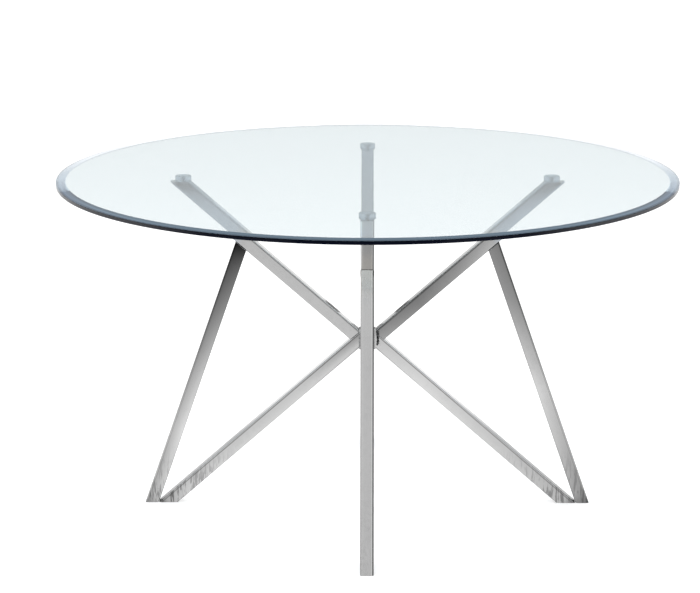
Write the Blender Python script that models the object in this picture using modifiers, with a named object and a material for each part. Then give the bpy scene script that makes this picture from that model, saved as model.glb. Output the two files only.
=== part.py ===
"""Round glass dining table on a knock-down base of polished square tube.

Four flat triangular frames stand at right angles around a short square post. Each frame is an
upper arm, a lower arm and a strut. The frames are bolted to the post from inside it, and the
glass lies loose on one clear pad at the top of each frame.

Metres, +Z up. The origin is on the floor, under the middle of the glass.
Run it with blender --background --python part.py, or from Blender's text editor.
"""
import math

import bmesh
import bpy
from mathutils import Matrix, Vector

# Driving dimensions, in metres
TABLE_HEIGHT = 0.757
FIT_GAP = 0.0003            # left between two pieces that touch

GLASS_DIAMETER = 1.372
GLASS_THICKNESS = 0.010
BEVEL_WIDTH = 0.0215
BEVEL_DROP = 0.0020
ARRIS = 0.0008              # small ground edge under the rim
GLASS_STEPS = 128

TUBE_SIZE = 0.0286
TUBE_WALL = 0.0015
TUBE_CORNER = 0.003

ARM_SLOPE = math.radians(41.35)     # both arms, from the floor
STRUT_LEAN = math.radians(19.25)    # from the vertical
CROSSING_HEIGHT = 0.384             # where the centre lines of a frame's arms cross
FOOT_SEAM = 0.4745                  # distance from the middle to where arm and strut part

POST_SIZE = 0.0286
POST_WALL = 0.002
POST_CORNER = 0.003
POST_HEIGHT = 0.046
POST_CAP_THICKNESS = 0.003

END_PLATE_THICKNESS = 0.004
BOLT_SPACING = 0.024
BOLT_RADIUS = 0.003
BOLT_HOLE_RADIUS = 0.0034
BOLT_HEAD_RADIUS = 0.005
BOLT_HEAD_HEIGHT = 0.0033
BOLT_KEY_RADIUS = 0.002

PAD_HEIGHT = 0.013
PAD_RADIUS = 0.018
PAD_CHAMFER = 0.0012
PAD_DISTANCE = 0.408                # pad centre from the middle
PAD_RECESS_DEPTH = 0.006
TOP_PLATE_THICKNESS = 0.003
SCREW_RADIUS = 0.0025
SCREW_LENGTH = 0.014
SCREW_HEAD_RADIUS = 0.0047
SCREW_HEAD_HEIGHT = 0.0028
SCREW_KEY_RADIUS = 0.0015

FOOT_PLUG_HEIGHT = 0.016
FOOT_PLUG_PROUD = 0.0008            # the tubes' ends stay this far off the floor

CORNER_STEPS = 3
ROUND_STEPS = 24

# Worked out from the driving dimensions
GLASS_BOTTOM = TABLE_HEIGHT - GLASS_THICKNESS
BASE_TOP = GLASS_BOTTOM - PAD_HEIGHT
HALF_TUBE = TUBE_SIZE / 2
HALF_POST = POST_SIZE / 2
ARM_TOP_TO_AXIS = HALF_TUBE / math.cos(ARM_SLOPE)
CROSSING_DISTANCE = FOOT_SEAM - (CROSSING_HEIGHT + ARM_TOP_TO_AXIS) / math.tan(ARM_SLOPE)
STRUT_FOOT = FOOT_SEAM + FIT_GAP + HALF_TUBE / math.cos(STRUT_LEAN)
END_PLATE_START = HALF_POST + FIT_GAP
ARM_START = END_PLATE_START + END_PLATE_THICKNESS + FIT_GAP
INNER_SIZE = TUBE_SIZE - 2 * TUBE_WALL
INNER_CORNER = TUBE_CORNER - TUBE_WALL
PLUG_SIZE = INNER_SIZE - 2 * FIT_GAP

CROSSING = Vector((CROSSING_DISTANCE, 0, CROSSING_HEIGHT))
UP = Vector((0, 0, 1))
OUT = Vector((1, 0, 0))
LOWER_ARM_TOP_FACE = Vector((math.sin(ARM_SLOPE), 0, math.cos(ARM_SLOPE)))
UPPER_ARM_UNDERSIDE = Vector((math.sin(ARM_SLOPE), 0, -math.cos(ARM_SLOPE)))

FRAME_SIDES = {"right": 0, "back": 90, "left": 180, "front": 270}


# ---------------------------------------------------------------- scene and materials

def clear_scene():
    for thing in list(bpy.data.objects):
        bpy.data.objects.remove(thing, do_unlink=True)


def new_collection(name):
    collection = bpy.data.collections.new(name)
    bpy.context.scene.collection.children.link(collection)
    return collection


def new_material(name, colour, roughness, metallic, transmission=0.0):
    material = bpy.data.materials.new(name)
    material.use_nodes = True
    shader = material.node_tree.nodes["Principled BSDF"]
    shader.inputs["Base Color"].default_value = (*colour, 1)
    shader.inputs["Roughness"].default_value = roughness
    shader.inputs["Metallic"].default_value = metallic
    shader.inputs["Transmission Weight"].default_value = transmission
    return material


def glass_material():
    return new_material("clear_glass", (0.93, 0.97, 0.98), 0.02, 0.0, 1.0)


def steel_material():
    return new_material("polished_steel", (0.72, 0.72, 0.72), 0.15, 1.0)


def pad_material():
    return new_material("clear_plastic", (0.80, 0.86, 0.90), 0.30, 0.0, 0.6)


def plug_material():
    return new_material("grey_plastic", (0.20, 0.20, 0.21), 0.55, 0.0)


def bolt_material():
    return new_material("plated_steel", (0.55, 0.55, 0.56), 0.30, 1.0)


# ---------------------------------------------------------------- shapes

def rounded_rectangle(width, depth, corner):
    """Points round a rectangle with round corners, counter-clockwise, centred on the origin."""
    points = []
    for quarter, (side_x, side_y) in enumerate(((1, 1), (-1, 1), (-1, -1), (1, -1))):
        centre = Vector((side_x * (width / 2 - corner), side_y * (depth / 2 - corner), 0))
        for step in range(CORNER_STEPS + 1):
            angle = math.radians(90 * (quarter + step / CORNER_STEPS))
            points.append(centre + corner * Vector((math.cos(angle), math.sin(angle), 0)))
    return points


def circle(centre_x, radius):
    """Points round a circle whose centre is on the local X axis."""
    points = []
    for step in range(ROUND_STEPS):
        turn = 2 * math.pi * step / ROUND_STEPS
        points.append(Vector((centre_x + radius * math.cos(turn), radius * math.sin(turn), 0)))
    return points


def extruded_mesh(name, outlines, length):
    """Mesh of a flat outline, with any holes inside it, extruded along local Z about z = 0."""
    curve = bpy.data.curves.new(name, "CURVE")
    curve.dimensions = "2D"
    curve.fill_mode = "BOTH"
    curve.extrude = length / 2
    for outline in outlines:
        spline = curve.splines.new("POLY")
        spline.points.add(len(outline) - 1)
        for spline_point, point in zip(spline.points, outline):
            spline_point.co = (*point, 1)
        spline.use_cyclic_u = True
    guide = bpy.data.objects.new(name, curve)
    bpy.context.scene.collection.objects.link(guide)
    graph = bpy.context.evaluated_depsgraph_get()
    mesh = bpy.data.meshes.new_from_object(guide.evaluated_get(graph))
    mesh.name = name
    bpy.data.objects.remove(guide)
    weld_and_face_out(mesh)
    return mesh


def weld_and_face_out(mesh):
    shell = bmesh.new()
    shell.from_mesh(mesh)
    bmesh.ops.remove_doubles(shell, verts=shell.verts, dist=0.00001)
    bmesh.ops.recalc_face_normals(shell, faces=shell.faces)
    shell.to_mesh(mesh)
    shell.free()


def saw(mesh, point, waste_side):
    """Cut the mesh at a plane, drop the side that waste_side points to, and close the cut."""
    shell = bmesh.new()
    shell.from_mesh(mesh)
    everything = shell.verts[:] + shell.edges[:] + shell.faces[:]
    cut = bmesh.ops.bisect_plane(
        shell, geom=everything, plane_co=point, plane_no=waste_side, clear_outer=True)
    rim = [piece for piece in cut["geom_cut"] if isinstance(piece, bmesh.types.BMEdge)]
    bmesh.ops.triangle_fill(shell, edges=rim, use_beauty=True)
    bmesh.ops.recalc_face_normals(shell, faces=shell.faces)
    shell.to_mesh(mesh)
    shell.free()


def square_bar(name, size, corner, wall, placement, length, cuts):
    """A square bar or tube along local Z, sawn at planes that are given in the frame's own axes."""
    outlines = [rounded_rectangle(size, size, corner)]
    if wall:
        inside = size - 2 * wall
        outlines.append(rounded_rectangle(inside, inside, corner - wall))
    mesh = extruded_mesh(name, outlines, length)
    to_local = placement.inverted()
    for point, waste_side in cuts:
        saw(mesh, to_local @ point, to_local.to_3x3() @ waste_side)
    return mesh


def turned_piece(name, outline, steps):
    """A solid of revolution about local Z. The outline runs down its outer side at +X."""
    mesh = bpy.data.meshes.new(name)
    edges = [(index, index + 1) for index in range(len(outline) - 1)]
    mesh.from_pydata([(radius, 0, height) for radius, height in outline], edges, [])
    piece = bpy.data.objects.new(name, mesh)
    screw = piece.modifiers.new("Screw", "SCREW")
    screw.axis = "Z"
    screw.steps = steps
    screw.render_steps = steps
    screw.use_merge_vertices = True
    screw.merge_threshold = 0.00001
    return piece


def closed_outline(outline):
    """A ring's outline, run back to its own first point."""
    return outline + outline[:1]


def add_piece(name, mesh, material, collection, parent, placement):
    piece = bpy.data.objects.new(name, mesh)
    finish_piece(piece, material, collection, parent, placement)
    return piece


def finish_piece(piece, material, collection, parent, placement):
    if not piece.data.materials:
        piece.data.materials.append(material)
    piece.data.shade_smooth()
    piece.data.set_sharp_from_angle(angle=math.radians(35))
    piece.parent = parent
    piece.matrix_local = placement
    collection.objects.link(piece)


def along(start, lean):
    """Placement whose local Z leans from the vertical towards +X by the given angle."""
    return Matrix.Translation(start) @ Matrix.Rotation(lean, 4, "Y")


# ---------------------------------------------------------------- placements in a frame's axes

UPPER_ARM_PLACE = along(CROSSING, math.pi / 2 - ARM_SLOPE)
LOWER_ARM_PLACE = along(CROSSING, math.pi / 2 + ARM_SLOPE)
STRUT_PLACE = along(Vector((STRUT_FOOT, 0, 0)), -STRUT_LEAN)
END_PLATE_PLACE = along(
    Vector((END_PLATE_START + END_PLATE_THICKNESS / 2, 0, CROSSING_HEIGHT)), math.pi / 2)
PAD_PLACE = Matrix.Translation((PAD_DISTANCE, 0, 0))

AT_END_PLATE = (OUT * ARM_START, -OUT)
AT_ARM_TOP = (UP * BASE_TOP, UP)
AT_FOOT = (UP * FOOT_PLUG_PROUD, -UP)
ON_LOWER_ARM = (CROSSING + LOWER_ARM_TOP_FACE * (HALF_TUBE + FIT_GAP), -LOWER_ARM_TOP_FACE)
UNDER_UPPER_ARM = (CROSSING + UPPER_ARM_UNDERSIDE * (HALF_TUBE + FIT_GAP), -UPPER_ARM_UNDERSIDE)
LONGEST_TUBE = 2 * TABLE_HEIGHT


# ---------------------------------------------------------------- pieces of one frame

def sawn_tube(name, placement, cuts):
    return square_bar(name, TUBE_SIZE, TUBE_CORNER, TUBE_WALL, placement, LONGEST_TUBE, cuts)


def upper_arm_mesh():
    cuts = [AT_END_PLATE, ON_LOWER_ARM, AT_ARM_TOP]
    return sawn_tube("upper_arm", UPPER_ARM_PLACE, cuts)


def lower_arm_mesh():
    cuts = [AT_END_PLATE, AT_FOOT]
    return sawn_tube("lower_arm", LOWER_ARM_PLACE, cuts)


def strut_mesh():
    cuts = [UNDER_UPPER_ARM, AT_FOOT]
    return sawn_tube("strut", STRUT_PLACE, cuts)


def foot_plug_mesh(name, placement):
    """A plastic plug that fills a tube's foot and stands just proud of the sawn steel."""
    cuts = [(UP * FOOT_PLUG_HEIGHT, UP), (UP * 0, -UP)]
    return square_bar(name, PLUG_SIZE, INNER_CORNER, 0, placement, LONGEST_TUBE, cuts)


def top_plate_mesh(cutters):
    """The plate that closes the level top end of the upper arm, drilled for the pad's screw."""
    cuts = [AT_ARM_TOP, (UP * (BASE_TOP - TOP_PLATE_THICKNESS), -UP)]
    mesh = square_bar("top_plate", PLUG_SIZE, INNER_CORNER, 0, UPPER_ARM_PLACE, LONGEST_TUBE, cuts)
    plate = bpy.data.objects.new("top_plate_blank", mesh)
    plate.matrix_world = UPPER_ARM_PLACE
    cutters.objects.link(plate)
    drill = add_drill(
        cutters, "pad_screw_drill", SCREW_RADIUS + FIT_GAP, 4 * TOP_PLATE_THICKNESS,
        Matrix.Translation((PAD_DISTANCE, 0, BASE_TOP)))
    add_cut(plate, drill)
    bpy.context.view_layer.update()
    graph = bpy.context.evaluated_depsgraph_get()
    drilled = bpy.data.meshes.new_from_object(plate.evaluated_get(graph))
    bpy.data.objects.remove(plate)
    bpy.data.objects.remove(drill)
    return drilled


def end_plate_mesh():
    """The plate that closes a frame's inner end and takes its two bolts."""
    outline = rounded_rectangle(POST_HEIGHT, TUBE_SIZE, TUBE_WALL)
    holes = [circle(side * BOLT_SPACING / 2, BOLT_RADIUS + FIT_GAP) for side in (-1, 1)]
    return extruded_mesh("end_plate", [outline] + holes, END_PLATE_THICKNESS)


def pad_piece(name):
    """A round clear pad with a hole and a recess for its screw."""
    bottom = BASE_TOP + FIT_GAP
    top = GLASS_BOTTOM - FIT_GAP
    recess = SCREW_HEAD_RADIUS + FIT_GAP
    hole = SCREW_RADIUS + FIT_GAP
    outline = [
        (PAD_RADIUS - PAD_CHAMFER, top),
        (PAD_RADIUS, top - PAD_CHAMFER),
        (PAD_RADIUS, bottom + PAD_CHAMFER),
        (PAD_RADIUS - PAD_CHAMFER, bottom),
        (hole, bottom),
        (hole, top - PAD_RECESS_DEPTH),
        (recess, top - PAD_RECESS_DEPTH),
        (recess, top),
    ]
    return turned_piece(name, closed_outline(outline), ROUND_STEPS)


def socket_screw(name, radius, length, head_radius, head_height, key_radius):
    """A button-head screw with its head's seat at z = 0 and a round key recess in the head."""
    floor = head_height * 0.4
    outline = [
        (0, floor),
        (key_radius, floor),
        (key_radius, head_height),
        (head_radius * 0.6, head_height),
        (head_radius, head_height * 0.45),
        (head_radius, 0),
        (radius, 0),
        (radius, -length),
        (0, -length),
    ]
    return turned_piece(name, outline, ROUND_STEPS)


# ---------------------------------------------------------------- cutters

def add_drill(cutters, name, radius, length, placement):
    bpy.ops.mesh.primitive_cylinder_add(vertices=ROUND_STEPS, radius=radius, depth=length)
    drill = bpy.context.object
    drill.name = name
    drill.matrix_world = placement
    for collection in list(drill.users_collection):
        collection.objects.unlink(drill)
    cutters.objects.link(drill)
    drill.hide_render = True
    drill.display_type = "WIRE"
    return drill


def add_cut(piece, cutter):
    cut = piece.modifiers.new(cutter.name, "BOOLEAN")
    cut.operation = "DIFFERENCE"
    cut.solver = "EXACT"
    cut.object = cutter


# ---------------------------------------------------------------- the table

def build_glass(parts, parent):
    rim = GLASS_DIAMETER / 2
    outline = [
        (0, TABLE_HEIGHT),
        (rim - BEVEL_WIDTH, TABLE_HEIGHT),
        (rim, TABLE_HEIGHT - BEVEL_DROP),
        (rim, GLASS_BOTTOM + ARRIS),
        (rim - ARRIS, GLASS_BOTTOM),
        (0, GLASS_BOTTOM),
    ]
    glass = turned_piece("glass_top", outline, GLASS_STEPS)
    finish_piece(glass, glass_material(), parts, parent, Matrix.Identity(4))


def build_post(parts, cutters, parent, steel):
    """The square post, its bolt holes, and the caps that close it after the bolts are tight."""
    middle = Matrix.Translation((0, 0, CROSSING_HEIGHT))
    inside = POST_SIZE - 2 * POST_WALL
    outlines = [
        rounded_rectangle(POST_SIZE, POST_SIZE, POST_CORNER),
        rounded_rectangle(inside, inside, POST_CORNER - POST_WALL),
    ]
    post = add_piece(
        "hub_post", extruded_mesh("hub_post", outlines, POST_HEIGHT), steel, parts, parent, middle)
    for level, side in (("upper", 1), ("lower", -1)):
        height = CROSSING_HEIGHT + side * BOLT_SPACING / 2
        for turned_about in ("X", "Y"):
            turn = Matrix.Rotation(math.pi / 2, 4, turned_about)
            place = Matrix.Translation((0, 0, height)) @ turn
            name = f"{level}_bolt_drill_{turned_about}"
            drill = add_drill(cutters, name, BOLT_HOLE_RADIUS, 2 * POST_SIZE, place)
            add_cut(post, drill)
    cap_size = inside - 2 * FIT_GAP
    cap_outline = rounded_rectangle(cap_size, cap_size, POST_CORNER - POST_WALL)
    cap_mesh = extruded_mesh("hub_cap", [cap_outline], POST_CAP_THICKNESS)
    for level, side in (("top", 1), ("bottom", -1)):
        height = CROSSING_HEIGHT + side * (POST_HEIGHT - POST_CAP_THICKNESS) / 2
        cap_place = Matrix.Translation((0, 0, height))
        add_piece(f"hub_{level}_cap", cap_mesh, steel, parts, parent, cap_place)


def frame_meshes(cutters):
    """Mesh and placement of every sawn or plate piece that each frame has."""
    return {
        "upper_arm": (upper_arm_mesh(), UPPER_ARM_PLACE),
        "lower_arm": (lower_arm_mesh(), LOWER_ARM_PLACE),
        "strut": (strut_mesh(), STRUT_PLACE),
        "end_plate": (end_plate_mesh(), END_PLATE_PLACE),
        "top_plate": (top_plate_mesh(cutters), UPPER_ARM_PLACE),
        "arm_foot_plug": (foot_plug_mesh("arm_foot_plug", LOWER_ARM_PLACE), LOWER_ARM_PLACE),
        "strut_foot_plug": (foot_plug_mesh("strut_foot_plug", STRUT_PLACE), STRUT_PLACE),
    }


def build_frame(side, parts, parent, meshes, finishes):
    for kind, (mesh, placement) in meshes.items():
        add_piece(f"{kind}_{side}", mesh, finishes[kind], parts, parent, placement)

    finish_piece(pad_piece(f"glass_pad_{side}"), finishes["glass_pad"], parts, parent, PAD_PLACE)

    seat = GLASS_BOTTOM - PAD_RECESS_DEPTH
    screw = socket_screw(
        f"pad_screw_{side}", SCREW_RADIUS, SCREW_LENGTH,
        SCREW_HEAD_RADIUS, SCREW_HEAD_HEIGHT, SCREW_KEY_RADIUS)
    screw_place = Matrix.Translation((PAD_DISTANCE, 0, seat))
    finish_piece(screw, finishes["fixing"], parts, parent, screw_place)

    bolt_seat = HALF_POST - POST_WALL - FIT_GAP
    bolt_length = ARM_START - FIT_GAP - bolt_seat
    for level, sign in (("upper", 1), ("lower", -1)):
        bolt = socket_screw(
            f"hub_bolt_{level}_{side}", BOLT_RADIUS, bolt_length,
            BOLT_HEAD_RADIUS, BOLT_HEAD_HEIGHT, BOLT_KEY_RADIUS)
        start = Vector((bolt_seat, 0, CROSSING_HEIGHT + sign * BOLT_SPACING / 2))
        finish_piece(bolt, finishes["fixing"], parts, parent, along(start, -math.pi / 2))


def build_table():
    clear_scene()
    parts = new_collection("glass_dining_table")
    cutters = new_collection("cutters")
    table = bpy.data.objects.new("table", None)
    parts.objects.link(table)

    steel = steel_material()
    plastic = plug_material()
    finishes = {
        "upper_arm": steel,
        "lower_arm": steel,
        "strut": steel,
        "end_plate": steel,
        "top_plate": steel,
        "arm_foot_plug": plastic,
        "strut_foot_plug": plastic,
        "glass_pad": pad_material(),
        "fixing": bolt_material(),
    }
    build_glass(parts, table)
    build_post(parts, cutters, table, steel)
    meshes = frame_meshes(cutters)
    for side, turn in FRAME_SIDES.items():
        pivot = bpy.data.objects.new(f"{side}_frame", None)
        parts.objects.link(pivot)
        pivot.parent = table
        pivot.rotation_euler.z = math.radians(turn)
        build_frame(side, parts, pivot, meshes, finishes)


build_table()
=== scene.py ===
import math
import random

import bmesh
import bpy
from mathutils import Matrix, Vector


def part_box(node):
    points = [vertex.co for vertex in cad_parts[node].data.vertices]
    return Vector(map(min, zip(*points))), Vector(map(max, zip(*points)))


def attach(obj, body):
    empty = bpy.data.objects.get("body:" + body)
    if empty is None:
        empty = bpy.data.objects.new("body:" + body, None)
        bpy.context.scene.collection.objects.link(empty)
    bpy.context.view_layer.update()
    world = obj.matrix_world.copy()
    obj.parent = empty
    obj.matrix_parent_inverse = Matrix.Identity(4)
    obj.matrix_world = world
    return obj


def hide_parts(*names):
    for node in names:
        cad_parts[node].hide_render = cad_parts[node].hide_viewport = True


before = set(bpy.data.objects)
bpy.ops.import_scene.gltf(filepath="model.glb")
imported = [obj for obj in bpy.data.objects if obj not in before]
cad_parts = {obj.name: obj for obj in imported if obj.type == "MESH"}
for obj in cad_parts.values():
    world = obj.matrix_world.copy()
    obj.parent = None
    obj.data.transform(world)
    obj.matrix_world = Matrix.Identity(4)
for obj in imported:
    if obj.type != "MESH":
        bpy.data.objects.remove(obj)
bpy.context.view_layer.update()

scene = bpy.context.scene
sideTurns = {"right": 0, "back": 90, "left": 180, "front": 270}  # each frame's turn about the middle
print("frame loaded:", len(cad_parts), "nodes")


def newMaterial(name):
    material = bpy.data.materials.new(name)
    material.use_nodes = True
    tree = material.node_tree
    return material, tree, tree.nodes["Principled BSDF"]


def addNode(tree, kind, values=None, **settings):
    node = tree.nodes.new(kind)
    for key, value in settings.items():
        setattr(node, key, value)
    for key, value in (values or {}).items():
        node.inputs[key].default_value = value
    return node


def joinNodes(tree, source, target):
    tree.links.new(source, target)


def addRamp(tree, source, stops, smooth=False):
    ramp = addNode(tree, "ShaderNodeValToRGB")
    bar = ramp.color_ramp
    bar.interpolation = "EASE" if smooth else "LINEAR"
    while len(bar.elements) < len(stops):
        bar.elements.new(1.0)
    for element, (place, tone) in zip(bar.elements, sorted(stops)):
        element.position = place
        element.color = (*tone, 1) if isinstance(tone, tuple) else (tone, tone, tone, 1)
    joinNodes(tree, source, ramp.inputs["Fac"])
    return ramp.outputs["Color"]


def addMaths(tree, operation, first, second):
    node = addNode(tree, "ShaderNodeMath", operation=operation)
    for socket, value in zip(node.inputs, (first, second)):
        if isinstance(value, (int, float)):
            socket.default_value = value
        else:
            joinNodes(tree, value, socket)
    return node.outputs["Value"]


def multiplyColours(tree, first, second):
    node = addNode(tree, "ShaderNodeMix", {"Factor": 1.0}, data_type="RGBA", blend_type="MULTIPLY")
    joinNodes(tree, first, node.inputs[6])
    joinNodes(tree, second, node.inputs[7])
    return node.outputs[2]


def addGroup(tree, group, values=None):
    node = addNode(tree, "ShaderNodeGroup", node_tree=group)
    for key, value in (values or {}).items():
        node.inputs[key].default_value = value
    return node


def newGroup(name, inputs, outputs):
    group = bpy.data.node_groups.new(name, "ShaderNodeTree")
    for label, value in inputs.items():
        socket = group.interface.new_socket(label, in_out="INPUT", socket_type="NodeSocketFloat")
        socket.default_value = value
    for label, kind in outputs.items():
        group.interface.new_socket(label, in_out="OUTPUT", socket_type=kind)
    return group, group.nodes.new("NodeGroupInput").outputs, group.nodes.new("NodeGroupOutput").inputs


smudgeLook = {
    "fineScale": 7.0,  # the small marks against the broad patches
    "cleanShare": 0.22,  # raise it for fewer marks
    "contrast": 2.0,
}


def makeSmudgeGroup():
    # finger marks and wiped patches: a soft mask, 0 is clean
    group, given, out = newGroup(
        "smudges", {"Scale": 20.0, "Amount": 0.5, "Sharpness": 2.0}, {"Mask": "NodeSocketFloat"})
    place = addNode(group, "ShaderNodeTexCoord").outputs["Object"]
    broad = addNode(group, "ShaderNodeTexNoise", {"Detail": 3.0, "Roughness": 0.55, "Distortion": 0.6})
    joinNodes(group, place, broad.inputs["Vector"])
    joinNodes(group, given["Scale"], broad.inputs["Scale"])
    fine = addNode(group, "ShaderNodeTexNoise", {"Detail": 2.0, "Roughness": 0.6})
    joinNodes(group, place, fine.inputs["Vector"])
    joinNodes(group, addMaths(group, "MULTIPLY", given["Scale"], smudgeLook["fineScale"]),
              fine.inputs["Scale"])
    both = addMaths(group, "MULTIPLY", broad.outputs["Fac"], fine.outputs["Fac"])
    lifted = addMaths(group, "SUBTRACT", both, smudgeLook["cleanShare"])
    steep = addMaths(group, "MULTIPLY", addMaths(group, "MULTIPLY", lifted, given["Sharpness"]),
                     smudgeLook["contrast"])
    held = addNode(group, "ShaderNodeClamp")
    joinNodes(group, steep, held.inputs["Value"])
    joinNodes(group, addMaths(group, "MULTIPLY", held.outputs["Result"], given["Amount"]), out["Mask"])
    return group


def makePolishGroup():
    # the lines that a polishing belt leaves along a tube, read from its own length and width
    group, given, out = newGroup(
        "polishLines", {"Fineness": 14.0, "Stretch": 3.0}, {"Mask": "NodeSocketFloat"})
    along = addNode(group, "ShaderNodeAttribute", attribute_name="along").outputs["Fac"]
    across = addNode(group, "ShaderNodeAttribute", attribute_name="across").outputs["Fac"]
    depth = addNode(group, "ShaderNodeAttribute", attribute_name="depth").outputs["Fac"]
    lengthwise = addMaths(group, "MULTIPLY", along, given["Stretch"])
    crosswise = addMaths(group, "MULTIPLY", across, given["Fineness"])
    through = addMaths(group, "MULTIPLY", depth, given["Fineness"])
    place = addNode(group, "ShaderNodeCombineXYZ")
    for source, target in zip((lengthwise, crosswise, through), place.inputs):
        joinNodes(group, source, target)
    lines = addNode(group, "ShaderNodeTexNoise", {"Scale": 1.0, "Detail": 4.0, "Roughness": 0.6})
    joinNodes(group, place.outputs["Vector"], lines.inputs["Vector"])
    joinNodes(group, lines.outputs["Fac"], out["Mask"])
    return group


rimLook = {
    "glow": [  # painted glow on the bevel, from the front of the table (0) round to its back (1)
        (0.0, (0.065, 0.10, 0.14)), (0.15, (0.07, 0.11, 0.15)), (0.40, (0.05, 0.07, 0.10)),
        (0.55, (0.01, 0.01, 0.02)), (1.0, (0.0, 0.0, 0.0))],
    "edgeGlow": (0.002, 0.003, 0.008, 1.0),
    "edgeRise": 0.0006,  # the edge's darkness reaches this far up the bevel
    "tint": [  # painted shade in what the bevel and the edge let through, the same way round
        (0.0, (0.40, 0.53, 0.60)), (0.12, (0.5, 0.64, 0.72)), (0.40, (0.62, 0.68, 0.74)),
        (0.55, (0.63, 0.67, 0.71)),
        (0.75, (0.47, 0.49, 0.53)), (1.0, (0.52, 0.55, 0.58))],
}


def makeRimGroup():
    # a painted glow on the bevelled band of a round sheet, standing in for light that travels inside it
    # and comes out there, and painted shade: the band lets less through than the flat middle
    group, given, out = newGroup(
        "rimLight", {"Bevel Start": 0.66, "Edge Top": 0.75},
        {"Glow": "NodeSocketColor", "Tint": "NodeSocketColor"})
    place = addNode(group, "ShaderNodeSeparateXYZ")
    joinNodes(group, addNode(group, "ShaderNodeTexCoord").outputs["Object"], place.inputs["Vector"])
    square = addMaths(group, "ADD", addMaths(group, "POWER", place.outputs["X"], 2.0),
                      addMaths(group, "POWER", place.outputs["Y"], 2.0))
    radius = addMaths(group, "SQRT", square, 0.0)
    onRim = addMaths(group, "GREATER_THAN", radius, given["Bevel Start"])
    onBevel = addMaths(group, "MULTIPLY", onRim,
                       addMaths(group, "GREATER_THAN", place.outputs["Z"], given["Edge Top"]))
    turn = addMaths(group, "DIVIDE", place.outputs["Y"], addMaths(group, "MAXIMUM", radius, 0.01))
    around = addMaths(group, "ADD", addMaths(group, "MULTIPLY", turn, 0.5), 0.5)
    edge = addNode(group, "ShaderNodeMix", {6: (0, 0, 0, 1), 7: rimLook["edgeGlow"]}, data_type="RGBA")
    joinNodes(group, onRim, edge.inputs[0])
    glow = addNode(group, "ShaderNodeMix", data_type="RGBA")
    joinNodes(group, onBevel, glow.inputs[0])
    joinNodes(group, edge.outputs[2], glow.inputs[6])
    joinNodes(group, addRamp(group, around, rimLook["glow"]), glow.inputs[7])
    joinNodes(group, glow.outputs[2], out["Glow"])
    tint = addNode(group, "ShaderNodeMix", {6: (1, 1, 1, 1)}, data_type="RGBA")
    joinNodes(group, onRim, tint.inputs[0])
    joinNodes(group, addRamp(group, around, rimLook["tint"]), tint.inputs[7])
    joinNodes(group, tint.outputs[2], out["Tint"])
    return group


rimGroup = makeRimGroup()
smudgeGroup = makeSmudgeGroup()
polishGroup = makePolishGroup()


steelLook = {
    "edgeTint": (0.82, 0.82, 0.82, 1.0),  # keeps the rounded corners from burning out
    "paintedEdgeLine": (0.81, 0.85, 0.88, 0.905),  # across a face: its end, its painted dark reflection line, and the next face
    "roughness": 0.07,
    "smudgeScale": 14.0,
    "smudgeRoughness": 0.05,
    "smudgeDark": 0.045,
    "lineFineness": 14.0,  # polishing lines across the tube
    "lineStretch": 3.0,  # and along it
    "lineContrast": 0.06,
    "lineDepth": 0.0000012,
    "waveScale": 9.0,
    "waveDepth": 0.00004,  # how far the polished faces roll
    "footHeight": 0.13,  # the marks on the feet and their painted shade reach this high
    "scuffAndShadeScale": (190.0, 190.0, 26.0),
    "scuffAndShadeEdges": [(0.47, 0.0), (0.6, 1.0)],
}


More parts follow.
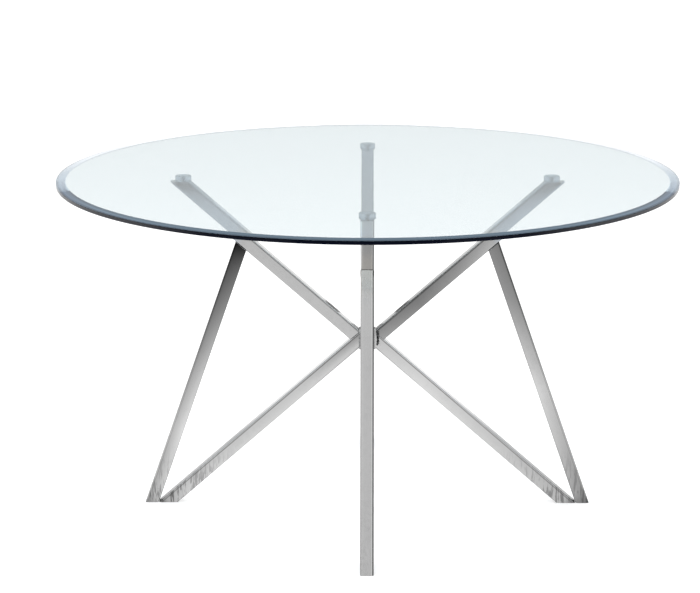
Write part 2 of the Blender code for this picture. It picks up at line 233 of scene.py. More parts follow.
def makeSteel(name, tones, paintedSlantShade=0.0, edge=1.0, scuffsAndShade=0.0, hubShade=0.0, paintedSideShade=None, dull=0.0):
    # tones: painted reflections and shade along the tube, from its lower end to its upper end
    # slant: painted shade, a side face darker near its upper edge; edge: a painted dark reflection
    # line right at that edge; hubShade: a painted shadow near the hub; sideways: painted shade from
    # one side of the tube to the other; scuffs: marks on the feet with painted shade near the floor
    material, tree, shader = newMaterial(name)
    along = addNode(tree, "ShaderNodeAttribute", attribute_name="along").outputs["Fac"]
    across = addNode(tree, "ShaderNodeAttribute", attribute_name="across").outputs["Fac"]
    tone = addRamp(tree, along, tones)
    upward = addMaths(tree, "ADD", addMaths(tree, "MULTIPLY", across, 0.5), 0.5)
    # painted shade across each side face, and a painted dark reflection line at its upper edge
    fade, lineStart, lineEnd, nextFace = steelLook["paintedEdgeLine"]
    lit = addRamp(tree, upward, [
        (0.0, 1.0 + paintedSlantShade), (fade, 1.0 - paintedSlantShade), (lineStart, edge), (lineEnd, edge), (nextFace, 1.0),
        (1.0, 1.0)])
    if hubShade:
        shade = addMaths(tree, "MULTIPLY", addRamp(tree, along, [(0.7, 0.0), (1.0, hubShade)]),
                         addRamp(tree, upward, [(0.25, 0.0), (0.85, 1.0), (0.9, 0.0)]))
        lit = addMaths(tree, "MULTIPLY", lit, addMaths(tree, "SUBTRACT", 1.0, shade))
    # painted shade from one side of the tube to the other
    if paintedSideShade:
        depth = addNode(tree, "ShaderNodeAttribute", attribute_name="depth").outputs["Fac"]
        rightward = addMaths(tree, "ADD", addMaths(tree, "MULTIPLY", depth, 0.5), 0.5)
        lit = addMaths(tree, "MULTIPLY", lit, addRamp(tree, rightward, paintedSideShade))

    smudge = addGroup(tree, smudgeGroup, {
        "Scale": steelLook["smudgeScale"], "Amount": 1.0, "Sharpness": 2.0}).outputs["Mask"]
    smeared = addMaths(tree, "MULTIPLY", smudge, steelLook["smudgeDark"])
    lit = addMaths(tree, "MULTIPLY", lit, addMaths(tree, "SUBTRACT", 1.0, smeared))
    lines = addGroup(tree, polishGroup, {
        "Fineness": steelLook["lineFineness"], "Stretch": steelLook["lineStretch"]}).outputs["Mask"]
    lined = addMaths(tree, "MULTIPLY", lines, steelLook["lineContrast"])
    lit = addMaths(tree, "MULTIPLY", lit, addMaths(tree, "ADD", lined, 1.0 - steelLook["lineContrast"] / 2))

    # marks on the feet, darker towards the floor: part scuffing, part painted shade near the floor
    if scuffsAndShade:
        place = addNode(tree, "ShaderNodeTexCoord").outputs["Object"]
        height = addNode(tree, "ShaderNodeSeparateXYZ")
        joinNodes(tree, place, height.inputs["Vector"])
        low = addRamp(tree, height.outputs["Z"], [
            (0.0, 1.0), (steelLook["footHeight"] * 0.4, 0.55), (steelLook["footHeight"], 0.0)])
        stretch = addNode(tree, "ShaderNodeMapping")
        stretch.inputs["Scale"].default_value = steelLook["scuffAndShadeScale"]
        joinNodes(tree, place, stretch.inputs["Vector"])
        veins = addNode(tree, "ShaderNodeTexNoise", {
            "Scale": 1.0, "Detail": 4.0, "Roughness": 0.6, "Distortion": 0.4})
        joinNodes(tree, stretch.outputs["Vector"], veins.inputs["Vector"])
        patchy = addRamp(tree, veins.outputs["Fac"], steelLook["scuffAndShadeEdges"], True)
        scuffedAndShaded = addMaths(tree, "MULTIPLY", addMaths(tree, "MULTIPLY", low, patchy), scuffsAndShade)
        lit = addMaths(tree, "MULTIPLY", lit, addMaths(tree, "SUBTRACT", 1.0, scuffedAndShaded))

    shading = addNode(tree, "ShaderNodeCombineColor")
    for socket in shading.inputs:
        joinNodes(tree, lit, socket)
    joinNodes(tree, multiplyColours(tree, tone, shading.outputs["Color"]), shader.inputs["Base Color"])
    shader.inputs["Metallic"].default_value = 1.0
    shader.inputs["Specular Tint"].default_value = steelLook["edgeTint"]
    uneven = addMaths(tree, "MULTIPLY", smudge, steelLook["smudgeRoughness"])
    joinNodes(tree, addMaths(tree, "ADD", uneven, steelLook["roughness"] + dull),
              shader.inputs["Roughness"])

    rolling = addNode(tree, "ShaderNodeTexNoise", {"Scale": steelLook["waveScale"], "Detail": 1.0})
    joinNodes(tree, addNode(tree, "ShaderNodeTexCoord").outputs["Object"], rolling.inputs["Vector"])
    wave = addNode(tree, "ShaderNodeBump", {"Strength": 1.0, "Distance": steelLook["waveDepth"]})
    joinNodes(tree, rolling.outputs["Fac"], wave.inputs["Height"])
    grain = addNode(tree, "ShaderNodeBump", {"Strength": 1.0, "Distance": steelLook["lineDepth"]})
    joinNodes(tree, lines, grain.inputs["Height"])
    joinNodes(tree, wave.outputs["Normal"], grain.inputs["Normal"])
    joinNodes(tree, grain.outputs["Normal"], shader.inputs["Normal"])
    return material


def grey(value):
    # a display grey from 0 to 255, as the metal's reflectance under even white light
    return (value / 255) ** 2.2


paintedGlassTint = (0.87, 0.99, 1.14)  # a painted blue tint for the parts close under the glass
paintedCounterTint = (1.02, 0.99, 0.95)  # a painted tint that evens out the blue the glass adds
frontLegPaintedShade = [  # painted shade and highlights across the front leg, from its left side to its right side
    (0.0, 0.9), (0.08, 1.06), (0.3, 1.0), (0.8, 0.99), (0.83, 1.15), (0.885, 1.15), (0.905, 0.25),
    (1.0, 0.15)]


def tinted(value, tint):
    return tuple(grey(value) * share for share in tint)


# each tube's copy of the steel carries painted reflections, highlights and shade along and across it
steels = {
    "upper_arm": makeSteel("steelUpperArm", [
        (0.0, grey(192)), (0.4, grey(189)), (0.62, grey(187)), (0.67, tinted(190, paintedGlassTint)),
        (1.0, tinted(176, paintedGlassTint))], paintedSlantShade=0.02, edge=0.85),
    "upper_arm_right": makeSteel("steelUpperArmRight", [
        (0.0, grey(152)), (0.22, grey(128)), (0.45, grey(150)), (0.62, grey(176)),
        (0.67, tinted(180, paintedGlassTint)), (1.0, tinted(176, paintedGlassTint))], paintedSlantShade=0.14, edge=0.5),
    "upper_arm_front": makeSteel("steelUpperArmFront", [
        (0.0, grey(206)), (0.85, grey(206)), (0.9, tinted(240, paintedGlassTint)),
        (1.0, tinted(248, paintedGlassTint))], paintedSideShade=frontLegPaintedShade, dull=0.04),
    "upper_arm_back": makeSteel("steelUpperArmBack", [(0.0, grey(170)), (1.0, tinted(165, paintedGlassTint))]),
    "lower_arm": makeSteel("steelLowerArm", [
        (0.0, grey(128)), (0.03, grey(180)), (0.12, grey(204)), (0.3, grey(206)), (0.75, grey(202)),
        (1.0, grey(192))], paintedSlantShade=0.08, edge=0.42, scuffsAndShade=0.75, hubShade=0.4),
    "lower_arm_right": makeSteel("steelLowerArmRight", [
        (0.0, grey(140)), (0.04, grey(184)), (0.3, grey(200)), (0.75, grey(214)), (1.0, grey(196))],
        paintedSlantShade=0.06, edge=0.5, scuffsAndShade=0.6),
    "strut": makeSteel("steelStrut", [
        (0.0, grey(120)), (0.05, grey(160)), (0.25, grey(188)), (0.45, grey(206)), (0.62, grey(182)),
        (0.8, grey(146)), (1.0, grey(132))], paintedSlantShade=0.10, edge=0.7, scuffsAndShade=0.55),
    "strut_front": makeSteel("steelStrutFront", [
        (0.0, grey(174)), (0.5, grey(177)), (0.75, grey(177)), (0.9, grey(181)),
        (0.95, tinted(193, paintedCounterTint)), (1.0, tinted(195, paintedCounterTint))],
        scuffsAndShade=0.08, paintedSideShade=frontLegPaintedShade, dull=0.08),
    "strut_left": makeSteel("steelStrutLeft", [
        (0.0, grey(156)), (0.04, grey(190)), (0.3, grey(208)), (0.5, grey(184)), (0.75, grey(132)),
        (0.92, grey(92)), (1.0, grey(30))], paintedSlantShade=0.2, edge=0.6, scuffsAndShade=0.55),
    "plain": makeSteel("steelPlain", [(0.0, grey(178)), (1.0, grey(178))]),
}
print("steel made")


glassLook = {
    "ior": 1.52,
    "absorbDensity": 12.0,
    "absorbColour": (0.31, 0.70, 0.80, 1.0),
    "smearScale": 5.0,
    "smearRoughness": 0.004,
    "shadowTint": (0.93, 0.95, 0.96, 1.0),  # its shadow is that of thin glass
}


glassShape = {
    "bevelWidth": 0.0215,
    "bevelDrop": 0.0020,
    "arris": 0.0008,  # small ground edges of the rim
    "topArris": 0.0004,
    "topArrisRise": 0.2,  # its height as a share of its width
    "steps": 720,
}


def makeGlass():
    material, tree, shader = newMaterial("clearGlass")
    shader.inputs["Metallic"].default_value = 0.0
    shader.inputs["Transmission Weight"].default_value = 1.0
    shader.inputs["IOR"].default_value = glassLook["ior"]
    smear = addGroup(tree, smudgeGroup, {
        "Scale": glassLook["smearScale"], "Amount": 1.0, "Sharpness": 2.0}).outputs["Mask"]
    joinNodes(tree, addMaths(tree, "MULTIPLY", smear, glassLook["smearRoughness"]),
              shader.inputs["Roughness"])
    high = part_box("glass_top")[1]
    # the bevel's painted glow and painted shade
    rim = addGroup(tree, rimGroup, {
        "Bevel Start": high.x - glassShape["bevelWidth"],
        "Edge Top": high.z - glassShape["bevelDrop"] + rimLook["edgeRise"]})
    joinNodes(tree, rim.outputs["Glow"], shader.inputs["Emission Color"])
    joinNodes(tree, rim.outputs["Tint"], shader.inputs["Base Color"])
    shader.inputs["Emission Strength"].default_value = 1.0
    clear = addNode(tree, "ShaderNodeBsdfTransparent")
    clear.inputs["Color"].default_value = glassLook["shadowTint"]
    path = addNode(tree, "ShaderNodeLightPath")
    choice = addNode(tree, "ShaderNodeMixShader")
    joinNodes(tree, path.outputs["Is Shadow Ray"], choice.inputs["Fac"])
    joinNodes(tree, shader.outputs["BSDF"], choice.inputs[1])
    joinNodes(tree, clear.outputs["BSDF"], choice.inputs[2])
    output = tree.nodes["Material Output"]
    joinNodes(tree, choice.outputs["Shader"], output.inputs["Surface"])
    body = addNode(tree, "ShaderNodeVolumeAbsorption", {
        "Color": glassLook["absorbColour"], "Density": glassLook["absorbDensity"]})
    joinNodes(tree, body.outputs["Volume"], output.inputs["Volume"])
    return material


padLook = {
    "colour": (0.48, 0.58, 0.67),
    "cloudShade": 0.82,  # how much darker the cloudy parts are
    "cloudScale": 160.0,
    "clearness": 0.78,
    "ior": 1.47,
    "roughness": 0.10,
    "smearScale": 90.0,
    "smearAmount": 0.2,
    "rippleDepth": 0.0002,
}


def makePad():
    material, tree, shader = newMaterial("clearPad")
    place = addNode(tree, "ShaderNodeTexCoord").outputs["Object"]
    cloud = addNode(tree, "ShaderNodeTexNoise", {
        "Scale": padLook["cloudScale"], "Detail": 3.0, "Roughness": 0.6})
    joinNodes(tree, place, cloud.inputs["Vector"])
    dark = tuple(share * padLook["cloudShade"] for share in padLook["colour"])
    joinNodes(tree, addRamp(tree, cloud.outputs["Fac"], [(0.35, dark), (0.65, padLook["colour"])]),
              shader.inputs["Base Color"])
    shader.inputs["Transmission Weight"].default_value = padLook["clearness"]
    shader.inputs["IOR"].default_value = padLook["ior"]
    smear = addGroup(tree, smudgeGroup, {
        "Scale": padLook["smearScale"], "Amount": padLook["smearAmount"], "Sharpness": 2.0}).outputs["Mask"]
    joinNodes(tree, addMaths(tree, "ADD", smear, padLook["roughness"]), shader.inputs["Roughness"])
    ripple = addNode(tree, "ShaderNodeBump", {"Strength": 1.0, "Distance": padLook["rippleDepth"]})
    joinNodes(tree, cloud.outputs["Fac"], ripple.inputs["Height"])
    joinNodes(tree, ripple.outputs["Normal"], shader.inputs["Normal"])
    return material


plugLook = {
    "colour": (0.13, 0.13, 0.135),
    "worn": (0.30, 0.30, 0.30),
    "wornScale": 120.0,
    "roughness": 0.48,
    "wornRoughness": 0.25,
    "grainScale": 2500.0,
    "grainDepth": 0.0001,
}


def makePlugPlastic():
    material, tree, shader = newMaterial("plugPlastic")
    worn = addGroup(tree, smudgeGroup, {
        "Scale": plugLook["wornScale"], "Amount": 1.0, "Sharpness": 3.0}).outputs["Mask"]
    joinNodes(tree, addRamp(tree, worn, [(0.2, plugLook["colour"]), (1.0, plugLook["worn"])]),
              shader.inputs["Base Color"])
    rougher = addMaths(tree, "MULTIPLY", worn, plugLook["wornRoughness"])
    joinNodes(tree, addMaths(tree, "ADD", rougher, plugLook["roughness"]), shader.inputs["Roughness"])
    grainy = addNode(tree, "ShaderNodeTexNoise", {"Scale": plugLook["grainScale"], "Detail": 2.0})
    joinNodes(tree, addNode(tree, "ShaderNodeTexCoord").outputs["Object"], grainy.inputs["Vector"])
    bump = addNode(tree, "ShaderNodeBump", {"Strength": 0.5, "Distance": plugLook["grainDepth"]})
    joinNodes(tree, grainy.outputs["Fac"], bump.inputs["Height"])
    joinNodes(tree, bump.outputs["Normal"], shader.inputs["Normal"])
    return material


platingLook = {
    "bright": (0.62, 0.62, 0.60),
    "dull": (0.36, 0.36, 0.35),
    "wornScale": 260.0,
    "roughness": 0.22,
    "wornRoughness": 0.2,
}


def makePlating():
    material, tree, shader = newMaterial("platedFixing")
    worn = addGroup(tree, smudgeGroup, {
        "Scale": platingLook["wornScale"], "Amount": 1.0, "Sharpness": 2.5}).outputs["Mask"]
    joinNodes(tree, addRamp(tree, worn, [(0.1, platingLook["bright"]), (1.0, platingLook["dull"])]),
              shader.inputs["Base Color"])
    shader.inputs["Metallic"].default_value = 1.0
    rougher = addMaths(tree, "MULTIPLY", worn, platingLook["wornRoughness"])
    joinNodes(tree, addMaths(tree, "ADD", rougher, platingLook["roughness"]), shader.inputs["Roughness"])
    return material


weldLook = {
    "bright": 0.44,
    "burnt": 0.08,
    "burnScale": 220.0,
    "roughness": 0.34,
    "unevenRoughness": 0.2,
    "pitDepth": 0.0003,
}


def makeWeld():
    material, tree, shader = newMaterial("weldedSteel")
    place = addNode(tree, "ShaderNodeTexCoord").outputs["Object"]
    burn = addNode(tree, "ShaderNodeTexNoise", {
        "Scale": weldLook["burnScale"], "Detail": 3.0, "Roughness": 0.65})
    joinNodes(tree, place, burn.inputs["Vector"])
    joinNodes(tree, addRamp(tree, burn.outputs["Fac"], [
        (0.40, weldLook["burnt"]), (0.62, weldLook["bright"])]), shader.inputs["Base Color"])
    shader.inputs["Metallic"].default_value = 1.0
    rougher = addMaths(tree, "MULTIPLY", burn.outputs["Fac"], weldLook["unevenRoughness"])
    joinNodes(tree, addMaths(tree, "ADD", rougher, weldLook["roughness"]), shader.inputs["Roughness"])
    bump = addNode(tree, "ShaderNodeBump", {"Strength": 0.6, "Distance": weldLook["pitDepth"]})
    joinNodes(tree, burn.outputs["Fac"], bump.inputs["Height"])
    joinNodes(tree, bump.outputs["Normal"], shader.inputs["Normal"])
    return material


clearGlass = makeGlass()
clearPad = makePad()
plugPlastic = makePlugPlastic()
platedFixing = makePlating()
weldedSteel = makeWeld()
print("finishes made")


def addPiece(name, mesh, material, body, replaced=None, sharpAngle=35):
    mesh.materials.clear()
    mesh.materials.append(material)
    mesh.shade_smooth()
    mesh.set_sharp_from_angle(angle=math.radians(sharpAngle))
    piece = bpy.data.objects.new(name, mesh)
    scene.collection.objects.link(piece)
    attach(piece, body)
    if replaced:
        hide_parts(replaced)
    return piece


def turnedMesh(name, outline, steps):
    # a solid of revolution about Z; the outline runs from the axis to the axis, or closes on itself
    shell = bmesh.new()
    closed = outline[0] == outline[-1]
    rings = []
    for radius, height in (outline[:-1] if closed else outline):
        if radius == 0:
            rings.append([shell.verts.new((0, 0, height))])
            continue
        rings.append([shell.verts.new((radius * math.cos(turn), radius * math.sin(turn), height))
                      for turn in (2 * math.pi * step / steps for step in range(steps))])
    pairs = list(zip(rings, rings[1:])) + ([(rings[-1], rings[0])] if closed else [])
    for upper, lower in pairs:
        for step in range(steps):
            after = (step + 1) % steps
            corners = [upper[step % len(upper)], lower[step % len(lower)],
                       lower[after % len(lower)], upper[after % len(upper)]]
            unique = [v for i, v in enumerate(corners) if v not in corners[:i]]
            shell.faces.new(unique)
    bmesh.ops.recalc_face_normals(shell, faces=shell.faces)
    mesh = bpy.data.meshes.new(name)
    shell.to_mesh(mesh)
    shell.free()
    return mesh


def buildGlass():
    low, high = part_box("glass_top")
    rim, top, bottom = high.x, high.z, low.z
    shape = glassShape
    inner = rim - shape["bevelWidth"]
    edgeTop = top - shape["bevelDrop"]
    outline = [
        (0, top),
        (inner, top),
        (rim - shape["topArris"], edgeTop + shape["topArris"] * shape["topArrisRise"]),
        (rim, edgeTop - shape["topArris"]),
        (rim, bottom + shape["arris"]),
        (rim - shape["arris"], bottom),
        (0, bottom),
    ]
    mesh = turnedMesh("glassTop", outline, shape["steps"])
    addPiece("glassTop", mesh, clearGlass, "glass", "glass_top", sharpAngle=4)


tube = {
    "size": 0.0286,
    "wall": 0.0015,
    "corner": 0.003,
    "armSlope": math.radians(41.35),
    "strutLean": math.radians(19.25),
    "crossingHeight": 0.384,
    "footSeam": 0.4745,
    "gap": 0.0003,
    "cornerSteps": 6,
    "flank": 0.0004,  # narrow strips beside the corners keep the faces flat
    "plugProud": 0.0008,
    "blankLength": 1.6,
}
halfTube = tube["size"] / 2
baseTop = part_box("top_plate_right")[1].z
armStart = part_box("upper_arm_right")[0].x
seamHeight = tube["crossingHeight"] + halfTube / math.cos(tube["armSlope"])
crossing = Vector((
    tube["footSeam"] - seamHeight / math.tan(tube["armSlope"]), 0, tube["crossingHeight"]))
strutFoot = Vector((tube["footSeam"] + tube["gap"] + halfTube / math.cos(tube["strutLean"]), 0, 0))
lowerArmTop = Vector((math.sin(tube["armSlope"]), 0, math.cos(tube["armSlope"])))
upperArmUnder = Vector((math.sin(tube["armSlope"]), 0, -math.cos(tube["armSlope"])))


def leaning(start, angle):
    return Matrix.Translation(start) @ Matrix.Rotation(angle, 4, "Y")


places = {
    "upper_arm": leaning(crossing, math.pi / 2 - tube["armSlope"]),
    "lower_arm": leaning(crossing, math.pi / 2 + tube["armSlope"]),
    "strut": leaning(strutFoot, -tube["strutLean"]),
}
toPost = (Vector((armStart, 0, 0)), Vector((-1, 0, 0)))
toPad = (Vector((0, 0, baseTop)), Vector((0, 0, 1)))
toFloor = (Vector((0, 0, tube["plugProud"])), Vector((0, 0, -1)))
onLowerArm = (crossing + lowerArmTop * (halfTube + tube["gap"]), -lowerArmTop)
underUpperArm = (crossing + upperArmUnder * (halfTube + tube["gap"]), -upperArmUnder)
cutsOf = {
    "upper_arm": [toPost, onLowerArm, toPad],
    "lower_arm": [toPost, toFloor],
    "strut": [underUpperArm, toFloor],
}


def roundSquare(size, corner, steps, flank):
    points = []
    for quarter in range(4):
        turn = math.radians(90 * quarter)
        across = Vector((math.cos(turn), math.sin(turn), 0))
        onward = Vector((-math.sin(turn), math.cos(turn), 0))
        centre = (across + onward) * (size / 2 - corner)
        points.append(centre + across * corner - onward * flank)
        for step in range(steps + 1):
            bend = math.radians(90) * step / steps
            points.append(centre + corner * (across * math.cos(bend) + onward * math.sin(bend)))
        points.append(centre + onward * corner - across * flank)
    return points


def sawShell(shell, point, wasteSide):
    everything = shell.verts[:] + shell.edges[:] + shell.faces[:]
    cut = bmesh.ops.bisect_plane(
        shell, geom=everything, plane_co=point, plane_no=wasteSide, clear_outer=True)
    rim = [part for part in cut["geom_cut"] if isinstance(part, bmesh.types.BMEdge)]
    bmesh.ops.triangle_fill(shell, edges=rim, use_beauty=True)


def tubeMesh(name, kind):
    shell = bmesh.new()
    half = tube["blankLength"] / 2
    steps = tube["cornerSteps"]
    inside = tube["size"] - 2 * tube["wall"]
    outlines = [roundSquare(tube["size"], tube["corner"], steps, tube["flank"]),
                roundSquare(inside, tube["corner"] - tube["wall"], steps, tube["flank"])]
    for outline in outlines:
        ends = [[shell.verts.new(point + Vector((0, 0, end))) for point in outline]
                for end in (-half, half)]
        count = len(outline)
        for index in range(count):
            after = (index + 1) % count
            shell.faces.new((ends[0][index], ends[0][after], ends[1][after], ends[1][index]))
    place = places[kind]
    shell.transform(place)
    for point, wasteSide in cutsOf[kind]:
        sawShell(shell, point, wasteSide)
    bmesh.ops.recalc_face_normals(shell, faces=shell.faces)
    mesh = bpy.data.meshes.new(name)
    shell.to_mesh(mesh)
    shell.free()
    local = place.inverted()
    spots = [local @ v.co for v in mesh.vertices]
    if kind == "lower_arm":
        spots = [Vector((-p.x, p.y, -p.z)) for p in spots]  # its own axis runs down
    lowest = min(p.z for p in spots)
    highest = max(p.z for p in spots)
    upward = -1 if kind == "upper_arm" else 1
    readings = {
        "along": [(p.z - lowest) / (highest - lowest) for p in spots],
        "across": [upward * p.x / halfTube for p in spots],
        "depth": [p.y / halfTube for p in spots],
    }
    for label, values in readings.items():
        mesh.attributes.new(label, "FLOAT", "POINT").data.foreach_set("value", values)
    return mesh


def turnToSide(mesh, side):
    mesh.transform(Matrix.Rotation(math.radians(sideTurns[side]), 4, "Z"))
    return mesh


def buildTubes():
    for side in sideTurns:
        for kind in places:
            node = f"{kind}_{side}"
            finish = steels.get(node, steels[kind])
            words = kind.split("_")
            name = words[0] + "".join(word.title() for word in words[1:]) + side.title()
            addPiece(name, turnToSide(tubeMesh(name, kind), side), finish, "base", node)


padShape = {
    "radius": 0.018,
    "topRound": 0.0016,
    "roundSteps": 5,
    "waist": 0.0003,  # the moulded side pulls in this far
    "rimWidth": 0.0022,
    "rimStep": 0.0004,
    "distance": 0.408,
    "recess": 0.0052,
    "hole": 0.0029,
    "recessDepth": 0.006,
    "steps": 96,
}


def buildPads():
    shape = padShape
    low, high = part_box("glass_pad_right")
    bottom, top = low.z, high.z
    rounding = shape["topRound"]
    outer = []
    for step in range(shape["roundSteps"] + 1):
        bend = math.radians(90) * step / shape["roundSteps"]
        outer.append((shape["radius"] - rounding + rounding * math.sin(bend),
                      top - rounding + rounding * math.cos(bend)))
    middle = (top + bottom) / 2
    foot = [(radius, bottom + top - height) for radius, height in reversed(outer)]
    rimInner = shape["radius"] - rounding - shape["rimWidth"]
    outline = [(rimInner, top)] + outer + [(shape["radius"] - shape["waist"], middle)] + foot + [
        (shape["hole"], bottom),
        (shape["hole"], top - shape["recessDepth"]),
        (shape["recess"], top - shape["recessDepth"]),
        (shape["recess"], top - shape["rimStep"]),
        (rimInner - shape["rimStep"], top - shape["rimStep"]),
        (rimInner, top),
    ]
    for side in sideTurns:
        mesh = turnedMesh("glassPad" + side.title(), outline, shape["steps"])
        mesh.transform(Matrix.Translation((shape["distance"], 0, 0)))
        turnToSide(mesh, side)
        addPiece("glassPad" + side.title(), mesh, clearPad, "base", f"glass_pad_{side}")


screwShape = {
    "shank": 0.0025,
    "threadDepth": 0.00035,
    "pitch": 0.0008,
    "length": 0.014,
    "headRadius": 0.0047,
    "headHeight": 0.0028,
    "headFlat": 0.0022,  # radius of the flat round the key
    "headTurn": math.radians(75),
    "headFall": 0.65,  # share of the height that is domed
    "neck": 0.0004,  # plain shank under the head
    "tip": 0.7,  # the end's radius as a share of the shank's
    "keyRadius": 0.0015,
    "keyDepth": 0.0016,
    "headSteps": 8,
    "steps": 48,
}


def buildScrews():
    shape = screwShape
    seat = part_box("glass_pad_right")[1].z - padShape["recessDepth"] + tube["gap"]
    dome = []
    for step in range(shape["headSteps"] + 1):
        bend = shape["headTurn"] * step / shape["headSteps"]
        outward = math.sin(bend) / math.sin(shape["headTurn"])
        drop = shape["headFall"] * (1 - math.cos(bend))
        dome.append((shape["headFlat"] + (shape["headRadius"] - shape["headFlat"]) * outward,
                     shape["headHeight"] * (1 - drop)))
    turns = int(shape["length"] / shape["pitch"]) - 1
    thread = []
    for turn in range(turns):
        height = -shape["neck"] - turn * shape["pitch"]
        thread += [(shape["shank"] - shape["threadDepth"], height),
                   (shape["shank"], height - shape["pitch"] / 2)]
    outline = [(0, shape["headHeight"] - shape["keyDepth"]),
               (shape["keyRadius"], shape["headHeight"] - shape["keyDepth"]),
               (shape["keyRadius"], shape["headHeight"])] + dome + [
               (shape["headRadius"], 0.0), (shape["shank"], 0.0)] + thread + [
               (shape["shank"] * shape["tip"], -shape["length"]), (0, -shape["length"])]
    for side in sideTurns:
        mesh = turnedMesh("padScrew" + side.title(), outline, shape["steps"])
        mesh.transform(Matrix.Translation((padShape["distance"], 0, seat)))
        turnToSide(mesh, side)
        addPiece("padScrew" + side.title(), mesh, platedFixing, "base",
                 f"pad_screw_{side}", sharpAngle=28)


weldShape = {
    "seamRadius": 0.0006,
    "seamSunk": 0.0004,  # its middle lies this far under the tubes' faces
    "seamEnds": (0.002, 0.001),  # it stops this far before the hub and the crotch
    "ripple": 0.14,
    "beat": 0.6,  # every second ripple is fuller
    "unrest": 0.5,
    "spacing": 0.0008,  # between the ripples
    "sides": 10,
    "cornerSteps": 3,
    "roughRadius": 0.0026,  # the hub weld that was left as welded
    "roughSpread": 0.0019,
    "roughRipple": 2.5,
    "roughPlace": 0.0048,  # out from the frame's inner end
    "roughEnds": (0.92, -0.6),  # as shares of the joint's height
    "groundRadius": 0.0034,  # the hub welds that were ground back
    "groundProud": 0.0005,
    "groundPlace": -0.0016,
    "groundEnds": (0.95, -0.95),
}


def beadMesh(name, route, radius, closed, seed, spread=0.0):
    # a weld bead: a thin rod along the route with the ripples of the torch; spread makes it ragged
    dice = random.Random(seed)
    points = []
    legs = list(zip(route, route[1:] + route[:1])) if closed else list(zip(route, route[1:]))
    for start, end in legs:
        count = max(1, round((end - start).length / weldShape["spacing"]))
        points += [start.lerp(end, step / count) for step in range(count)]
    if not closed:
        points.append(route[-1])
    curve = bpy.data.curves.new(name, "CURVE")
    curve.dimensions = "3D"
    curve.bevel_depth = radius
    curve.bevel_resolution = weldShape["sides"] // 4
    curve.use_fill_caps = not closed
    spline = curve.splines.new("POLY")
    spline.points.add(len(points) - 1)
    for index, (spot, point) in enumerate(zip(spline.points, points)):
        spot.co = (*(point + Vector((dice.uniform(-spread, spread), 0, 0))), 1)
        uneven = weldShape["beat"] if index % 2 else -weldShape["beat"]
        uneven += dice.uniform(-weldShape["unrest"], weldShape["unrest"])
        spot.radius = 1 + weldShape["ripple"] * uneven * (weldShape["roughRipple"] if spread else 1)
    spline.use_cyclic_u = closed
    guide = bpy.data.objects.new(name, curve)
    scene.collection.objects.link(guide)
    mesh = bpy.data.meshes.new_from_object(guide.evaluated_get(bpy.context.evaluated_depsgraph_get()))
    bpy.data.objects.remove(guide)
    mesh.name = name
    return mesh


def sectionRoute(kind, plane):
    # where a tube's outer faces cross a plane
    point, normal = plane
    place = places[kind]
    axis = place.to_3x3() @ Vector((0, 0, 1))
    route = []
    for spot in roundSquare(tube["size"], tube["corner"], weldShape["cornerSteps"], tube["flank"]):
        start = place @ spot
        route.append(start + axis * ((point - start).dot(normal) / axis.dot(normal)))
    return route


def buildWelds():
    strutSeam = sectionRoute("strut", underUpperArm)
    slope = tube["armSlope"]
    hubEnd, crotchEnd = weldShape["seamEnds"]
    crotch = crossing.x + halfTube / math.sin(slope)
    tall = halfTube / math.cos(slope) + (armStart - crossing.x) * math.tan(slope)
    seamStart = crossing.z + halfTube / math.cos(slope) - (armStart - crossing.x) * math.tan(slope)
    for index, side in enumerate(sideTurns):
        tag = side.title()
        mesh = beadMesh("strutWeld" + tag, strutSeam, weldShape["seamRadius"], True, index)
        addPiece("strutWeld" + tag, turnToSide(mesh, side), weldedSteel, "base")
        for face, letter in ((-1, "A"), (1, "B")):
            out = face * (halfTube - weldShape["seamSunk"])
            rough = side == "right"
            reach = weldShape["roughRadius"] if rough else weldShape["groundRadius"]
            depth = out if rough else face * (halfTube + weldShape["groundProud"] - reach)
            middle = armStart + weldShape["roughPlace" if rough else "groundPlace"]
            ends = weldShape["roughEnds" if rough else "groundEnds"]
            rail = [Vector((middle, depth, crossing.z + tall * end)) for end in ends]
            mesh = beadMesh(f"hubWeld{tag}{letter}", rail, reach, False, 10 + index,
                            weldShape["roughSpread"] if rough else 0.0)
            finish = weldedSteel if rough else steels["plain"]
            addPiece(f"hubWeld{tag}{letter}", turnToSide(mesh, side), finish, "base")
            seam = [Vector((armStart + hubEnd, out, seamStart - hubEnd * math.tan(slope))),
                    Vector((crotch - crotchEnd, out, crossing.z + crotchEnd * math.tan(slope)))]
            mesh = beadMesh(f"armWeld{tag}{letter}", seam, weldShape["seamRadius"], False, 20 + index)
            finish = steels["plain"] if rough else weldedSteel
            addPiece(f"armWeld{tag}{letter}", turnToSide(mesh, side), finish, "base")


def finishCadNodes():
    # the pieces that keep their CAD shape get this table's own finishes
    for node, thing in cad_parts.items():
        if "plug" in node:
            finish = plugPlastic
        elif "bolt" in node:
            finish = platedFixing
        else:
            finish = steels["plain"]
        for place in thing.material_slots:
            place.material = finish


finishCadNodes()
buildGlass()
buildTubes()
buildPads()
buildScrews()
buildWelds()
print("pieces made")


view = {
    "place": (0.0022, -5.4733, 1.790),
    "turn": math.radians(-0.429),
    "tilt": math.radians(13.461),
    "roll": math.radians(-0.017),
    "lens": 129.25,
    "sensor": 36,
    "reach": (0.05, 200),  # nearest and farthest that it sees
}


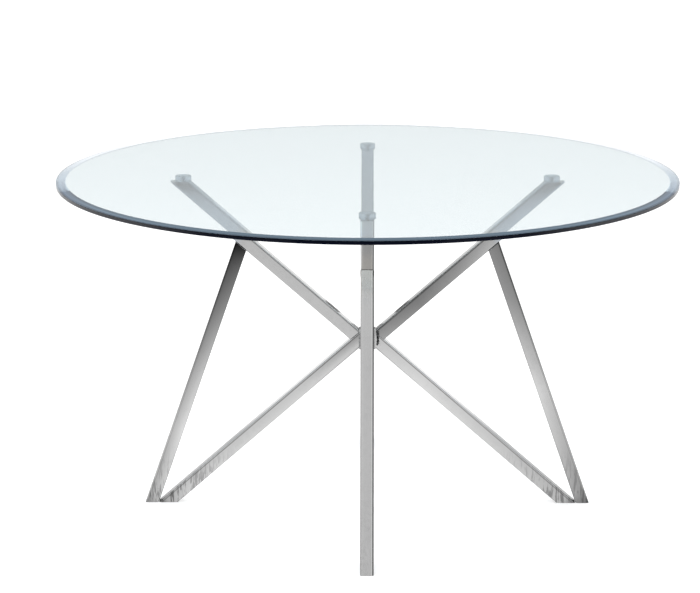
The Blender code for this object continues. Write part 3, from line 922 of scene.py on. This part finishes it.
def addCamera():
    turn, tilt, roll = view["turn"], view["tilt"], view["roll"]
    ahead = Vector((math.sin(turn) * math.cos(tilt), math.cos(turn) * math.cos(tilt), -math.sin(tilt)))
    level = Vector((math.cos(turn), -math.sin(turn), 0))
    above = level.cross(ahead)
    right = math.cos(roll) * level + math.sin(roll) * above
    up = -math.sin(roll) * level + math.cos(roll) * above
    lens = bpy.data.cameras.new("camera")
    lens.lens = view["lens"]
    lens.sensor_width = view["sensor"]
    lens.clip_start, lens.clip_end = view["reach"]
    camera = bpy.data.objects.new("camera", lens)
    basis = Matrix((right, up, -ahead)).transposed().to_4x4()
    camera.matrix_world = Matrix.Translation(view["place"]) @ basis
    scene.collection.objects.link(camera)
    scene.camera = camera


studio = {
    "floorSize": 120.0,
    "floorColour": 0.96,
    "floorRoughness": 0.9,
    "floorLight": 0.9,  # how bright the sky is for the floor and other matt things
    "floorGlow": 0.45,  # the floor is lit from beneath as well, so shadows stay faint
    "glossyFrom": -5.0,  # what mirror-like faces see of the floor, along Y
    "glossyTo": 25.0,
    "glossyFloor": [
        (-3.79, 0.12), (-3.71, 0.95), (-1.0, 1.0), (0.0, 0.95), (5.0, 0.95), (7.0, 0.66), (12.0, 0.66),
        (16.0, 1.15)],
    "darkFrom": 3.72,  # the floor is dark from this far out, for what mirrors it at the front
    "darkShare": [(-2.4, 0.87), (-0.7, 0.0)],  # how dark, along Y
    "frontSky": [(0.0, 0.12), (0.14, 0.16), (0.26, 1.15), (0.6, 1.0), (0.85, 0.8), (1.0, 0.78)],
    "backSky": [
        (0.0, 1.45), (0.10, 1.3), (0.155, 0.53), (0.24, 0.53), (0.38, (0.38, 0.46, 0.52)),
        (0.55, (0.38, 0.46, 0.52)), (0.8, 0.75), (1.0, 0.78)],
    "skyTurns": [(0.15, 1.0), (0.45, 0.0)],  # where the front sky gives way to the back sky
    "softboxSize": 5.0,
    "softboxPlace": (0, 0.4, 4.0),
    "softboxPower": 18.0,
}


def glossyOnly(tree):
    # 1 where a mirror-like surface looks at this, and 0 for every other ray
    path = addNode(tree, "ShaderNodeLightPath")
    direct = addMaths(tree, "SUBTRACT", 1.0, path.outputs["Is Transmission Ray"])
    return addMaths(tree, "MULTIPLY", path.outputs["Is Glossy Ray"], direct)


def addFloor():
    bpy.ops.mesh.primitive_plane_add(size=studio["floorSize"])
    floor = bpy.context.object
    floor.name = "floor"
    material, tree, shader = newMaterial("paleFloor")
    tone = studio["floorColour"]
    shader.inputs["Base Color"].default_value = (tone, tone, tone, 1)
    shader.inputs["Roughness"].default_value = studio["floorRoughness"]
    shader.inputs["Specular IOR Level"].default_value = 0.0
    shader.inputs["Emission Color"].default_value = (1, 1, 1, 1)
    shader.inputs["Emission Strength"].default_value = studio["floorGlow"]
    place = addNode(tree, "ShaderNodeSeparateXYZ")
    joinNodes(tree, addNode(tree, "ShaderNodeTexCoord").outputs["Object"], place.inputs["Vector"])
    start, span = studio["glossyFrom"], studio["glossyTo"] - studio["glossyFrom"]
    share = addMaths(tree, "DIVIDE", addMaths(tree, "SUBTRACT", place.outputs["Y"], start), span)
    tones = addRamp(tree, share, [((y - start) / span, tone) for y, tone in studio["glossyFloor"]])
    square = addMaths(tree, "ADD", addMaths(tree, "POWER", place.outputs["X"], 2.0),
                      addMaths(tree, "POWER", place.outputs["Y"], 2.0))
    farOut = addMaths(tree, "GREATER_THAN", addMaths(tree, "SQRT", square, 0.0), studio["darkFrom"])
    shade = addRamp(tree, share, [((y - start) / span, dark) for y, dark in studio["darkShare"]])
    glow = addNode(tree, "ShaderNodeEmission")
    joinNodes(tree, tones, glow.inputs["Color"])
    joinNodes(tree, addMaths(tree, "SUBTRACT", 1.0, addMaths(tree, "MULTIPLY", farOut, shade)),
              glow.inputs["Strength"])
    choice = addNode(tree, "ShaderNodeMixShader")
    joinNodes(tree, glossyOnly(tree), choice.inputs["Fac"])
    joinNodes(tree, shader.outputs["BSDF"], choice.inputs[1])
    joinNodes(tree, glow.outputs["Emission"], choice.inputs[2])
    joinNodes(tree, choice.outputs["Shader"], tree.nodes["Material Output"].inputs["Surface"])
    floor.data.materials.append(material)


def addSky():
    world = bpy.data.worlds.new("studioSky")
    scene.world = world
    world.use_nodes = True
    tree = world.node_tree
    backdrop = tree.nodes["Background"]
    direction = addNode(tree, "ShaderNodeSeparateXYZ")
    joinNodes(tree, addNode(tree, "ShaderNodeTexCoord").outputs["Generated"], direction.inputs["Vector"])
    front = addRamp(tree, direction.outputs["Z"], studio["frontSky"])
    back = addRamp(tree, direction.outputs["Z"], studio["backSky"])
    isFront = addRamp(tree, addMaths(tree, "ADD", direction.outputs["Y"], 0.5), studio["skyTurns"])
    around = addNode(tree, "ShaderNodeMix", data_type="RGBA")
    joinNodes(tree, isFront, around.inputs[0])
    joinNodes(tree, back, around.inputs[6])
    joinNodes(tree, front, around.inputs[7])
    seen = addNode(tree, "ShaderNodeMix", data_type="RGBA")
    joinNodes(tree, glossyOnly(tree), seen.inputs[0])
    bright = studio["floorLight"]
    seen.inputs[6].default_value = (bright, bright, bright, 1)
    joinNodes(tree, around.outputs[2], seen.inputs[7])
    joinNodes(tree, seen.outputs[2], backdrop.inputs["Color"])


def addSoftbox():
    light = bpy.data.lights.new("softbox", "AREA")
    light.shape = "DISK"
    light.size = studio["softboxSize"]
    light.energy = studio["softboxPower"]
    box = bpy.data.objects.new("softbox", light)
    box.location = studio["softboxPlace"]
    scene.collection.objects.link(box)
    box.visible_camera = False
    box.visible_glossy = False


addCamera()
addFloor()
addSky()
addSoftbox()
scene.view_settings.view_transform = "Standard"
print("studio made")
